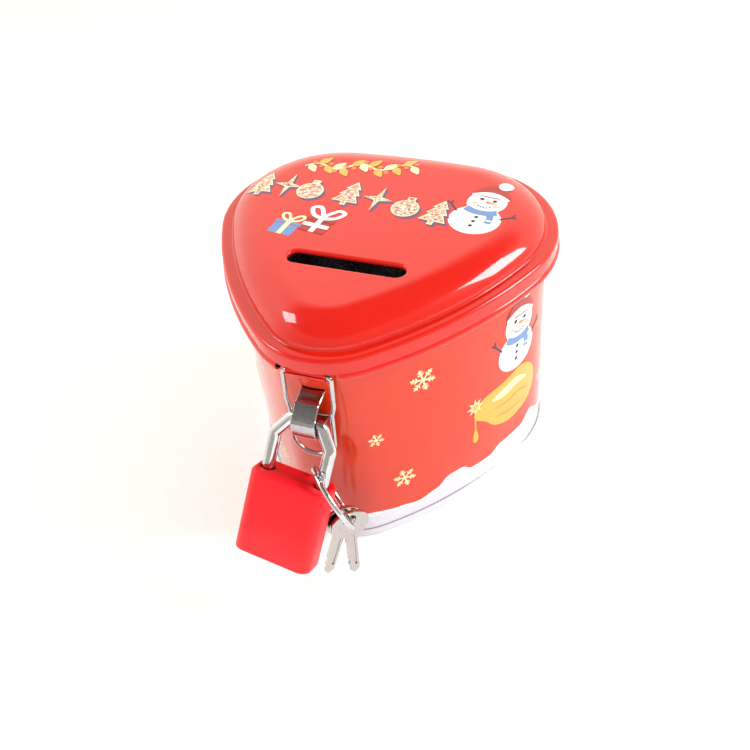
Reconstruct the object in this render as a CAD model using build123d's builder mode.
"""Hinged tin money box with a wire hasp and a small padlock, key ring and two keys.

Frame: +Z up, the tin stands on z = 0, the rounded tip with the hasp points to -Y and the hinge is at +Y.
All sizes are in millimetres.
"""
from build123d import *
import math
import os

os.makedirs("parts", exist_ok=True)

# ---------------------------------------------------------------- driving dimensions
# Plan outline of the lid: a triangle of three bulging sides joined by three round corners.
half_width = 42.0
tip_y = -40.75
tip_radius = 19.5
corner_radius = 28.0
corner_y = 12.0
side_radius = 100.0
back_radius = 195.0

sheet = 0.32            # tinplate
wall_inset = 3.03       # body wall's outer face, in from the lid's outermost line
curl_radius = 1.2       # rolled lower edge of the lid, outside
curl_z = 56.8
skirt_inset = 0.45
flange_z = 61.35
flange_edge = 1.25
dome_inset = 3.5
dome_flat_inset = 12.4
dome_top = 66.8
seam_height = 2.4       # rim of the base
panel_z = 1.2
body_top = 60.7
body_hem_radius = 0.75

slot_length = 28.0
slot_width = 4.4
slot_y = -13.65
slot_hem_depth = 0.9

# Lid hinge at the back
hinge_z = curl_z
knuckle_radius = 1.2
pin_radius = 0.75
running_gap = 0.05
body_knuckle_half = 4.2
lid_knuckle_end = 12.2
hinge_side_gap = 0.35
hinge_cut_half = 12.6
leaf_height = 7.5

# Hasp and its barrel at the tip
wire_radius = 0.5
hasp_bore = 0.58
barrel_half = 4.5
notch_end = 6.9
hasp_half = 5.6
hasp_waist_half = 4.95
hasp_shoulder_drop = 8.0
hasp_waist_drop = 10.6
hasp_length = 22.9
hasp_lean = 5.0

# Staple strap
strap_width = 5.5
strap_thick = 0.8
strap_top_z = 50.4
strap_low_z = 42.5
nose_play = 0.6
slit_play = 0.3

# Padlock: its own frame has its origin on the crossbar's axis, X along the bar, Z along the legs
bar_y = -42.56
bar_z = 45.44
lock_lean = 28.0
lock_tilt = 9.0
shackle_radius = 1.45
bar_half = 3.5
leg_x = 6.6
shoulder_drop = 4.7
lock_top = -13.4
lock_height = 20.0
lock_width = 18.8
lock_depth = 8.8
jacket_wall = 0.95
long_leg_end = -27.6
toe_end = -17.6
leg_bore = 1.55

plug_radius = 2.2
plug_top = -22.4
stem_radius = 1.6
stem_top = -17.4
cam_offset = 0.9
cam_radius = 0.6
cam_top = -15.6

latch_low = -16.7
latch_high = -15.3
latch_nose = -4.85
latch_tail = 2.6
latch_half_width = 1.9
notch_depth = 0.7

ring_radius = 7.6
ring_wire = 0.6
key_thick = 1.0
key_length = 22.0

# ---------------------------------------------------------------- plan outline
tip_centre = (0.0, tip_y + tip_radius)
corner_centre = (half_width - corner_radius, corner_y)


def meeting_point(first, first_reach, second, second_reach):
    """Point at the given distances from two centres, on the left of the line from first to second."""
    gap_x, gap_y = second[0] - first[0], second[1] - first[1]
    gap = math.hypot(gap_x, gap_y)
    along = (first_reach**2 - second_reach**2 + gap**2) / (2 * gap)
    across = math.sqrt(first_reach**2 - along**2)
    return (
        first[0] + (along * gap_x - across * gap_y) / gap,
        first[1] + (along * gap_y + across * gap_x) / gap,
    )


side_centre = meeting_point(
    tip_centre, side_radius - tip_radius, corner_centre, side_radius - corner_radius
)
back_centre_y = corner_y - math.sqrt((back_radius - corner_radius) ** 2 - corner_centre[0] ** 2)
back_y = back_centre_y + back_radius


def bearing(start, end):
    """Angle in degrees of the line from start to end."""
    return math.degrees(math.atan2(end[1] - start[1], end[0] - start[0]))


side_start = bearing(side_centre, tip_centre)
side_end = bearing(side_centre, corner_centre)
corner_end = bearing((0, back_centre_y), corner_centre)


def outline_arcs(inset):
    """Draw the plan outline, moved in by inset, as one closed chain that starts at the tip."""
    tip = (tip_centre[0], tip_centre[1])
    left_side = (-side_centre[0], side_centre[1])
    left_corner = (-corner_centre[0], corner_y)
    CenterArc(tip, tip_radius - inset, -90, side_start + 90)
    CenterArc(side_centre, side_radius - inset, side_start, side_end - side_start)
    CenterArc(corner_centre, corner_radius - inset, side_end, corner_end - side_end)
    CenterArc((0, back_centre_y), back_radius - inset, corner_end, 180 - 2 * corner_end)
    CenterArc(left_corner, corner_radius - inset, 180 - corner_end, corner_end - side_end)
    CenterArc(left_side, side_radius - inset, 180 - side_end, side_end - side_start)
    CenterArc(tip, tip_radius - inset, 180 - side_start, side_start + 90)


# Section plane at the tip: its X is the distance in from the outline, its Y is the height.
section_plane = Plane(origin=(0, tip_y, 0), x_dir=(0, 1, 0), z_dir=(1, 0, 0))

with BuildLine() as rim_path:
    outline_arcs(0)

# ---------------------------------------------------------------- body wall
tip_wall_y = tip_y + wall_inset
back_wall_y = back_y - wall_inset
wall_foot = 0.36
hem_sweep = 240
hem_z = body_top - body_hem_radius

with BuildPart() as body_wall:
    with BuildSketch(section_plane):
        with BuildLine():
            hem_centre = (wall_inset + body_hem_radius, hem_z)
            inner_hem = body_hem_radius - sheet
            outer_roll = CenterArc(hem_centre, body_hem_radius, 180, -hem_sweep)
            inner_roll = CenterArc(hem_centre, inner_hem, 180, -hem_sweep)
            Line(outer_roll @ 1, inner_roll @ 1)
            outer_foot = (wall_inset, wall_foot)
            inner_foot = (wall_inset + sheet, wall_foot)
            Polyline(outer_roll @ 0, outer_foot, inner_foot, inner_roll @ 0)
        make_face()
    sweep(path=rim_path.wires()[0])
    # Lap of the side seam, inside, left of the hinge
    lap_half = 3.0
    lap_x = -12.0
    lap_margin = 4.0
    lap_outer = back_radius - wall_inset - sheet
    lap_angle = math.degrees(math.asin(lap_x / back_radius))
    lap_sweep = math.degrees(lap_half / back_radius)
    with BuildSketch(Plane.XY.offset(panel_z + lap_margin)):
        with BuildLine():
            start_angle = 90 - lap_angle - lap_sweep
            lap_out = CenterArc((0, back_centre_y), lap_outer, start_angle, 2 * lap_sweep)
            lap_in = CenterArc((0, back_centre_y), lap_outer - sheet, start_angle, 2 * lap_sweep)
            Line(lap_out @ 0, lap_in @ 0)
            Line(lap_out @ 1, lap_in @ 1)
        make_face()
    extrude(amount=hem_z - panel_z - 2 * lap_margin)
    # Slits for the staple strap
    slit_height = strap_thick + 2 * slit_play
    for slit_z in (strap_top_z, strap_low_z):
        with BuildSketch(Plane.XZ.offset(-tip_wall_y)):
            with Locations((0, slit_z)):
                Rectangle(strap_width + 2 * slit_play, slit_height)
        extrude(amount=2, both=True, mode=Mode.SUBTRACT)
body_wall.part.label = "body_wall"
export_step(body_wall.part, "parts/body_wall.step")

# ---------------------------------------------------------------- base plate
with BuildPart() as base_plate:
    seam_play = 0.05
    seam_out = wall_inset - seam_play - sheet
    seam_in = wall_inset + sheet + seam_play
    with BuildSketch(section_plane):
        with BuildLine():
            Polyline(
                (seam_out, seam_height),
                (seam_out, 0.0),
                (seam_in + sheet, 0.0),
                (seam_in + sheet, seam_height),
                (seam_in, seam_height),
                (seam_in, sheet),
                (seam_out + sheet, sheet),
                (seam_out + sheet, seam_height),
                close=True,
            )
        make_face()
    sweep(path=rim_path.wires()[0])
    with BuildSketch(Plane.XY.offset(panel_z)):
        with BuildLine():
            outline_arcs(seam_in + sheet / 2)
        make_face()
    extrude(amount=sheet)
base_plate.part.label = "base_plate"
export_step(base_plate.part, "parts/base_plate.step")

# ---------------------------------------------------------------- lid shell
barrel_setback = 0.2
barrel_y = tip_y + curl_radius + barrel_setback
hinge_y = back_y - curl_radius
roll_end = 75.0
outer_join = math.degrees(math.acos((curl_radius - skirt_inset) / curl_radius))
inner_join = math.degrees(
    math.acos((curl_radius - skirt_inset - sheet) / (curl_radius - sheet))
)
corner_bend = flange_edge - skirt_inset

with BuildPart() as lid_shell:
    with BuildSketch(section_plane):
        with BuildLine():
            curl_centre = (curl_radius, curl_z)
            outer_start = 180 - outer_join
            inner_start = 180 - inner_join
            outer_curl = CenterArc(curl_centre, curl_radius, outer_start, 360 + roll_end - outer_start)
            inner_curl = CenterArc(
                curl_centre, curl_radius - sheet, inner_start, 360 + roll_end - inner_start
            )
            Line(outer_curl @ 1, inner_curl @ 1)
            bend_centre = (flange_edge, flange_z - corner_bend)
            outer_bend = CenterArc(bend_centre, corner_bend, 90, 90)
            inner_bend = CenterArc(bend_centre, corner_bend - sheet, 90, 90)
            Line(outer_curl @ 0, outer_bend @ 1)
            Line(inner_curl @ 0, inner_bend @ 1)
            dome_rise = dome_top - flange_z
            dome_reach = dome_flat_inset - dome_inset
            dome_centre = (dome_flat_inset, flange_z)
            outer_dome = EllipticalCenterArc(
                dome_centre, dome_reach, dome_rise, start_angle=90, arc_size=90
            )
            inner_dome = EllipticalCenterArc(
                dome_centre,
                dome_reach - sheet,
                dome_rise - sheet,
                start_angle=90,
                arc_size=90,
            )
            Line(outer_bend @ 0, outer_dome @ 1)
            crease = (dome_inset + sheet, flange_z - sheet)
            Polyline(inner_bend @ 0, crease, inner_dome @ 1)
            Line(outer_dome @ 0, inner_dome @ 0)
        make_face()
    sweep(path=rim_path.wires()[0])
    with BuildSketch(Plane.XY.offset(dome_top - sheet)):
        with BuildLine():
            outline_arcs(dome_flat_inset - 0.02)
        make_face()
    extrude(amount=sheet)
    # Turned-down edge of the coin slot
    with BuildSketch(Plane.XY.offset(dome_top - slot_hem_depth)):
        with Locations((0, slot_y)):
            SlotOverall(slot_length + 2 * sheet, slot_width + 2 * sheet)
    extrude(amount=slot_hem_depth - sheet / 2)
    with BuildSketch(Plane.XY.offset(dome_top + 1)):
        with Locations((0, slot_y)):
            SlotOverall(slot_length, slot_width)
    extrude(amount=-4, mode=Mode.SUBTRACT)
    # Cut the curl away at the hasp and at the hinge
    cut_low = curl_z - curl_radius - 0.5
    notch_top = curl_z + 0.8 * curl_radius
    window_top = curl_z + 1.9
    cut_reach = 6.0
    with BuildSketch(Plane.XY.offset(cut_low)):
        with Locations((0, tip_y + 1)):
            Rectangle(2 * notch_end, cut_reach)
        with Locations((0, back_y - 1)):
            Rectangle(2 * hinge_cut_half, cut_reach)
    extrude(amount=notch_top - cut_low, mode=Mode.SUBTRACT)
    # Straight barrel for the hasp, and the lid's two hinge knuckles
    with BuildSketch(Plane.YZ.offset(-barrel_half)):
        with Locations((barrel_y, curl_z)):
            Circle(curl_radius)
            Circle(hasp_bore, mode=Mode.SUBTRACT)
    extrude(amount=2 * barrel_half)
    knuckle_start = body_knuckle_half + hinge_side_gap
    knuckle_span = lid_knuckle_end - knuckle_start
    for start_x in (-lid_knuckle_end, knuckle_start):
        with BuildSketch(Plane.YZ.offset(start_x)):
            with Locations((hinge_y, hinge_z)):
                Circle(knuckle_radius)
                Circle(pin_radius + running_gap, mode=Mode.SUBTRACT)
        extrude(amount=knuckle_span)
    # Window in the skirt so that it clears the body's knuckle as the lid turns
    with BuildSketch(Plane.XY.offset(cut_low)):
        with Locations((0, back_y - 1)):
            Rectangle(2 * knuckle_start, cut_reach)
    extrude(amount=window_top - cut_low, mode=Mode.SUBTRACT)
lid_shell.part.label = "lid_shell"
export_step(lid_shell.part, "parts/lid_shell.step")

# ---------------------------------------------------------------- lid hinge
with BuildPart() as hinge_leaf:
    leaf_face = back_wall_y + 0.02
    with BuildSketch(Plane.YZ.offset(-body_knuckle_half)):
        with Locations((hinge_y, hinge_z)):
            Circle(knuckle_radius)
            Circle(pin_radius, mode=Mode.SUBTRACT)
    extrude(amount=2 * body_knuckle_half)
    with BuildSketch(Plane.YZ.offset(-body_knuckle_half)):
        leaf_root = 0.72 * knuckle_radius
        leaf_heel = 0.4 * knuckle_radius
        leaf_drop = 1.2
        leaf_top = hinge_z - leaf_root
        with BuildLine():
            Polyline(
                (hinge_y - leaf_root, leaf_top),
                (leaf_face, leaf_top - leaf_drop),
                (leaf_face, hinge_z - leaf_height),
                (leaf_face + sheet, hinge_z - leaf_height),
                (leaf_face + sheet, leaf_top - leaf_drop - 0.1),
                (hinge_y - leaf_heel, leaf_top),
                close=True,
            )
        make_face()
    extrude(amount=2 * body_knuckle_half)
hinge_leaf.part.label = "hinge_leaf"
export_step(hinge_leaf.part, "parts/hinge_leaf.step")

with BuildPart() as hinge_pin:
    pin_half = lid_knuckle_end + 0.4
    with BuildSketch(Plane.YZ.offset(-pin_half)):
        with Locations((hinge_y, hinge_z)):
            Circle(pin_radius)
    extrude(amount=2 * pin_half)
    chamfer(hinge_pin.edges().filter_by(GeomType.CIRCLE), length=0.2)
hinge_pin.part.label = "hinge_pin"
export_step(hinge_pin.part, "parts/hinge_pin.step")

# ---------------------------------------------------------------- hasp loop
lean = math.radians(hasp_lean)
hasp_plane = Plane(
    origin=(0, barrel_y, curl_z), x_dir=(1, 0, 0), z_dir=(0, -math.cos(lean), math.sin(lean))
)
stub_start = 1.0
corner_bends = [1.0, 2.5, 2.5, 4.6]

with BuildPart() as hasp_loop:
    with BuildLine(hasp_plane) as hasp_path:
        right_side = [
            (stub_start, 0),
            (hasp_half, 0),
            (hasp_half, -hasp_shoulder_drop),
            (hasp_waist_half, -hasp_waist_drop),
            (hasp_waist_half, -hasp_length),
        ]
        left_side = [(-x, y) for x, y in reversed(right_side)]
        FilletPolyline(*right_side, *left_side, radius=corner_bends + corner_bends[::-1])
    with BuildSketch(Plane(hasp_path.line @ 0, z_dir=hasp_path.line % 0)):
        Circle(wire_radius)
    sweep(path=hasp_path.line)
hasp_loop.part.label = "hasp_loop"
export_step(hasp_loop.part, "parts/hasp_loop.step")

# ---------------------------------------------------------------- staple strap
clinch_gap = 0.5
clinch_y = tip_wall_y + sheet + clinch_gap + strap_thick / 2
nose_reach = shackle_radius + nose_play + strap_thick / 2
clinch_length = 3.0
strap_slope = 1.1
strap_crest = 0.9
strap_shoulder = 1.3
strap_bends = [0.6, 1.0, 1.2, 1.6, 0.6]

with BuildPart() as staple_strap:
    with BuildLine(Plane.YZ) as strap_path:
        FilletPolyline(
            (clinch_y, strap_top_z + clinch_length),
            (clinch_y, strap_top_z),
            (bar_y + strap_crest, strap_top_z - strap_slope),
            (bar_y - nose_reach, bar_z + strap_shoulder),
            (bar_y - nose_reach, strap_low_z),
            (clinch_y, strap_low_z),
            (clinch_y, strap_low_z - clinch_length),
            radius=strap_bends,
        )
    with BuildSketch(Plane(strap_path.line @ 0, x_dir=(1, 0, 0), z_dir=strap_path.line % 0)):
        Rectangle(strap_width, strap_thick)
    sweep(path=strap_path.line)
staple_strap.part.label = "staple_strap"
export_step(staple_strap.part, "parts/staple_strap.step")

# ---------------------------------------------------------------- padlock
lock_frame = Plane((0, bar_y, bar_z)).rotated((-lock_lean, lock_tilt, 0))


def lock_plane(height):
    """Plane across the legs at a height in the padlock's own frame."""
    return lock_frame.offset(height)


shackle_bend = 1.7
lock_front = Plane(origin=lock_frame.origin, x_dir=lock_frame.x_dir, z_dir=-lock_frame.y_dir)
leg_axis = Axis(lock_frame.origin, lock_frame.z_dir)
bar_axis = Axis(lock_frame.origin, lock_frame.x_dir)

with BuildPart() as shackle:
    with BuildLine(lock_front) as shackle_path:
        FilletPolyline(
            (-leg_x, toe_end),
            (-leg_x, -shoulder_drop),
            (-bar_half, 0),
            (bar_half, 0),
            (leg_x, -shoulder_drop),
            (leg_x, long_leg_end),
            radius=shackle_bend,
        )
    with BuildSketch(Plane(shackle_path.line @ 0, z_dir=shackle_path.line % 0)):
        Circle(shackle_radius)
    sweep(path=shackle_path.line)
    # Notch in the short leg for the latch, and the long leg's relief for the retainer pin
    inner_toe = -leg_x + shackle_radius
    inner_long = leg_x - shackle_radius
    relief_high = -17.7
    relief_low = -25.9
    relief_width = 1.7
    notch_play = 0.3
    with BuildSketch(lock_front):
        with Locations((inner_toe, (latch_low + latch_high) / 2)):
            Rectangle(2 * notch_depth, latch_high - latch_low + notch_play)
        with Locations((inner_long, (relief_high + relief_low) / 2)):
            Rectangle(relief_width, relief_high - relief_low)
    extrude(amount=shackle_radius + 0.5, both=True, mode=Mode.SUBTRACT)
shackle.part.label = "shackle"
export_step(shackle.part, "parts/shackle.step")

block_width = lock_width - 2 * jacket_wall
block_depth = lock_depth - 2 * jacket_wall
block_top = lock_top - 1.0
plate_thick = 0.8
rim_lip = 0.2
lock_bottom = lock_top - lock_height
block_low = lock_bottom + rim_lip + plate_thick
edge_round = 2.7

with BuildPart() as lock_jacket:
    with BuildSketch(lock_plane(lock_bottom)):
        RectangleRounded(lock_width, lock_depth, edge_round)
    extrude(amount=lock_height)
    fillet(lock_jacket.faces().sort_by(leg_axis)[-1].edges(), radius=0.9)
    with BuildSketch(lock_plane(lock_bottom)):
        RectangleRounded(block_width, block_depth, edge_round - jacket_wall)
    extrude(amount=block_top - lock_bottom, mode=Mode.SUBTRACT)
    with BuildSketch(lock_plane(lock_top + 1)):
        with Locations((-leg_x, 0), (leg_x, 0)):
            Circle(shackle_radius + 0.3)
    extrude(amount=-3, mode=Mode.SUBTRACT)
lock_jacket.part.label = "lock_jacket"
export_step(lock_jacket.part, "parts/lock_jacket.step")

retainer_x = leg_x - shackle_radius + 0.1
retainer_z = -18.6
retainer_radius = 0.6
channel_play = 0.1
channel_end = 4.5
spring_hole_low = -31.6
toe_hole_low = -18.2

with BuildPart() as lock_block:
    with BuildSketch(lock_plane(block_low)):
        RectangleRounded(block_width, block_depth, edge_round - jacket_wall)
    extrude(amount=block_top - block_low)
    with BuildSketch(lock_plane(block_top)):
        with Locations((leg_x, 0)):
            Circle(leg_bore)
    extrude(amount=spring_hole_low - block_top, mode=Mode.SUBTRACT)
    with BuildSketch(lock_plane(block_top)):
        with Locations((-leg_x, 0)):
            Circle(leg_bore)
    extrude(amount=toe_hole_low - block_top, mode=Mode.SUBTRACT)
    with BuildSketch(lock_plane(block_low)):
        Circle(plug_radius + running_gap)
    extrude(amount=plug_top + 0.1 - block_low, mode=Mode.SUBTRACT)
    with BuildSketch(lock_plane(block_low)):
        Circle(stem_radius + running_gap)
    extrude(amount=latch_low - block_low, mode=Mode.SUBTRACT)
    # Channel of the latch, open to the short leg's hole
    with BuildSketch(lock_plane(latch_low - channel_play)):
        with Locations(((channel_end - leg_x) / 2, 0)):
            Rectangle(channel_end + leg_x, 2 * (latch_half_width + channel_play))
    extrude(amount=latch_high - latch_low + 2 * channel_play, mode=Mode.SUBTRACT)
    with BuildSketch(lock_front):
        with Locations((retainer_x, retainer_z)):
            Circle(retainer_radius)
    extrude(amount=lock_depth, both=True, mode=Mode.SUBTRACT)
lock_block.part.label = "lock_block"
export_step(lock_block.part, "parts/lock_block.step")

with BuildPart() as retainer_pin:
    with BuildSketch(lock_front):
        with Locations((retainer_x, retainer_z)):
            Circle(retainer_radius)
    extrude(amount=block_depth / 2, both=True)
retainer_pin.part.label = "retainer_pin"
export_step(retainer_pin.part, "parts/retainer_pin.step")

with BuildPart() as end_plate:
    with BuildSketch(lock_plane(lock_bottom + rim_lip)):
        RectangleRounded(block_width, block_depth, edge_round - jacket_wall)
        Circle(plug_radius + running_gap, mode=Mode.SUBTRACT)
    extrude(amount=plate_thick)
end_plate.part.label = "end_plate"
export_step(end_plate.part, "parts/end_plate.step")

# Key cylinder with its wafers; the keyway's long side lies along the lock's depth
keyway_width = 1.1
keyway_depth = 3.1
wafer_thick = 0.5
wafer_width = 2.4
wafer_reach = 1.75
wafer_heights = [-31.2, -29.4, -27.6]

with BuildPart() as lock_plug:
    with BuildSketch(lock_plane(lock_bottom + rim_lip)):
        Circle(plug_radius)
    extrude(amount=plug_top - lock_bottom - rim_lip)
    with BuildSketch(lock_plane(plug_top)):
        Circle(stem_radius)
    extrude(amount=stem_top - plug_top)
    with BuildSketch(lock_plane(stem_top)):
        with Locations((cam_offset, 0)):
            Circle(cam_radius)
    extrude(amount=cam_top - stem_top)
    with BuildSketch(lock_plane(lock_bottom)):
        Rectangle(keyway_width, keyway_depth)
    extrude(amount=9.0, mode=Mode.SUBTRACT)
    for height in wafer_heights:
        with BuildSketch(lock_plane(height)):
            Rectangle(wafer_width + 0.1, 2 * wafer_reach + 0.1)
        extrude(amount=wafer_thick + 0.05, mode=Mode.SUBTRACT)
lock_plug.part.label = "lock_plug"
export_step(lock_plug.part, "parts/lock_plug.step")

with BuildPart() as wafers:
    for height in wafer_heights:
        with BuildSketch(lock_plane(height)):
            Rectangle(wafer_width, 2 * wafer_reach)
            Rectangle(keyway_width, keyway_depth - 0.4, mode=Mode.SUBTRACT)
        extrude(amount=wafer_thick)
wafers.part.label = "wafers"
export_step(wafers.part, "parts/wafers.step")

with BuildPart() as latch_bolt:
    with BuildSketch(lock_plane(latch_low)):
        with Locations(((latch_nose + latch_tail) / 2, 0)):
            Rectangle(latch_tail - latch_nose, 2 * latch_half_width)
        with Locations((cam_offset - 0.05, 0.45)):
            Rectangle(2 * cam_radius + 0.6, 2 * cam_radius + cam_offset + 0.3, mode=Mode.SUBTRACT)
    extrude(amount=latch_high - latch_low)
    nose_edges = latch_bolt.edges().filter_by(leg_axis).sort_by(bar_axis)[:2]
    chamfer(nose_edges, length=0.6)
latch_bolt.part.label = "latch_bolt"
export_step(latch_bolt.part, "parts/latch_bolt.step")

spring_wire = 0.2
with BuildPart() as latch_spring:
    latch_middle = (latch_low + latch_high) / 2
    coil_start = lock_frame.from_local_coords((latch_tail + spring_wire + 0.05, 0, latch_middle))
    coil_length = channel_end - latch_tail - 2 * spring_wire - 0.15
    with BuildLine() as latch_coil:
        Helix(coil_length / 3, coil_length, 0.5, center=coil_start, direction=lock_frame.x_dir)
    with BuildSketch(Plane(latch_coil.line @ 0, z_dir=latch_coil.line % 0)):
        Circle(spring_wire)
    sweep(path=latch_coil.line, is_frenet=True)
latch_spring.part.label = "latch_spring"
export_step(latch_spring.part, "parts/latch_spring.step")

with BuildPart() as shackle_spring:
    spring_low = spring_hole_low + spring_wire + 0.05
    spring_span = long_leg_end - spring_low - spring_wire - 0.1
    spring_start = lock_frame.from_local_coords((leg_x, 0, spring_low))
    with BuildLine() as leg_coil:
        Helix(spring_span / 5, spring_span, 1.15, center=spring_start, direction=lock_frame.z_dir)
    with BuildSketch(Plane(leg_coil.line @ 0, z_dir=leg_coil.line % 0)):
        Circle(spring_wire)
    sweep(path=leg_coil.line, is_frenet=True)
shackle_spring.part.label = "shackle_spring"
export_step(shackle_spring.part, "parts/shackle_spring.step")

# ---------------------------------------------------------------- key ring and keys
ring_up = Vector(-0.775, 0.024, 0.628)
ring_out = Vector(0.245, -0.908, 0.337)
ring_centre = Vector(9.3, 1.6, -15.7)


def lock_direction(local):
    """Turn a direction in the padlock's frame into one in the tin's frame."""
    turned = lock_frame.x_dir * local.X + lock_frame.y_dir * local.Y + lock_frame.z_dir * local.Z
    return turned.normalized()


ring_plane = Plane(
    origin=lock_frame.from_local_coords(ring_centre),
    x_dir=lock_direction(ring_up),
    z_dir=lock_direction(ring_up.cross(ring_out)),
)

with BuildPart() as key_ring:
    with BuildLine(ring_plane) as ring_path:
        CenterArc((0, 0), ring_radius, 4, 352)
    with BuildSketch(Plane(ring_path.line @ 0, z_dir=ring_path.line % 0)):
        Circle(ring_wire)
    sweep(path=ring_path.line)
key_ring.part.label = "key_ring"
export_step(key_ring.part, "parts/key_ring.step")

# The keys hang from the ring's lowest point, side by side along its wire.
ring_normal = ring_plane.z_dir
sink = Vector(0, 0, -1) - ring_normal * Vector(0, 0, -1).dot(ring_normal)
ring_bottom = ring_plane.origin + sink.normalized() * ring_radius
key_normal = ring_normal.cross(sink).normalized()
key_across = Vector(0, 0, 1).cross(key_normal).normalized()

bow_half_width = 4.7
bow_half_height = 4.2
blade_half = 1.4
hole_radius = 1.6
hole_drop = 0.9
bow_drop = 2.6
key_top = bow_half_height - bow_drop
fan_angles = {"key_1": 2.0, "key_2": 20.0}
key_shift = 0.85

for side, name in ((-1, "key_1"), (1, "key_2")):
    fan = math.radians(fan_angles[name])
    key_x = key_across * math.cos(fan) + Vector(0, 0, 1) * math.sin(fan)
    key_plane = Plane(
        origin=ring_bottom + key_normal * (side * key_shift), x_dir=key_x, z_dir=key_normal
    )
    with BuildPart() as key:
        with BuildSketch(key_plane):
            with Locations((0, -bow_drop)):
                Ellipse(bow_half_width, bow_half_height)
            blade_end = key_top - key_length
            with BuildLine():
                Polyline(
                    (-blade_half, -bow_drop - 2),
                    (blade_half, -bow_drop - 2),
                    (blade_half, blade_end + 5.6),
                    (blade_half - 0.5, blade_end + 5.1),
                    (blade_half - 0.5, blade_end + 4.4),
                    (blade_half - 0.1, blade_end + 3.9),
                    (blade_half - 0.1, blade_end + 3.2),
                    (blade_half - 0.6, blade_end + 2.6),
                    (blade_half - 0.6, blade_end + 2.0),
                    (blade_half - 0.2, blade_end + 1.5),
                    (0, blade_end),
                    (-blade_half, blade_end + 1.4),
                    close=True,
                )
            make_face()
            with Locations((0, -hole_drop)):
                Circle(hole_radius, mode=Mode.SUBTRACT)
        extrude(amount=key_thick / 2, both=True)
    key.part.label = name
    export_step(key.part, f"parts/{name}.step")
    hole_place = key_plane.from_local_coords((0, -hole_drop, 0))
    print(name, "hole", [round(value, 4) for value in hole_place])

# Places that the joints use
for title, place in (
    ("ring bottom", ring_bottom),
    ("key axis", key_normal),
    ("leg axis point", lock_frame.from_local_coords((leg_x, 0, 0))),
    ("lock X", lock_frame.x_dir),
    ("lock Y", lock_frame.y_dir),
    ("lock Z", lock_frame.z_dir),
    ("plug point", lock_frame.from_local_coords((0, 0, lock_bottom))),
):
    print(title, [round(value, 4) for value in place])
print("hinge", round(hinge_y, 3), hinge_z, "barrel", round(barrel_y, 3), curl_z, "back", round(back_y, 3))
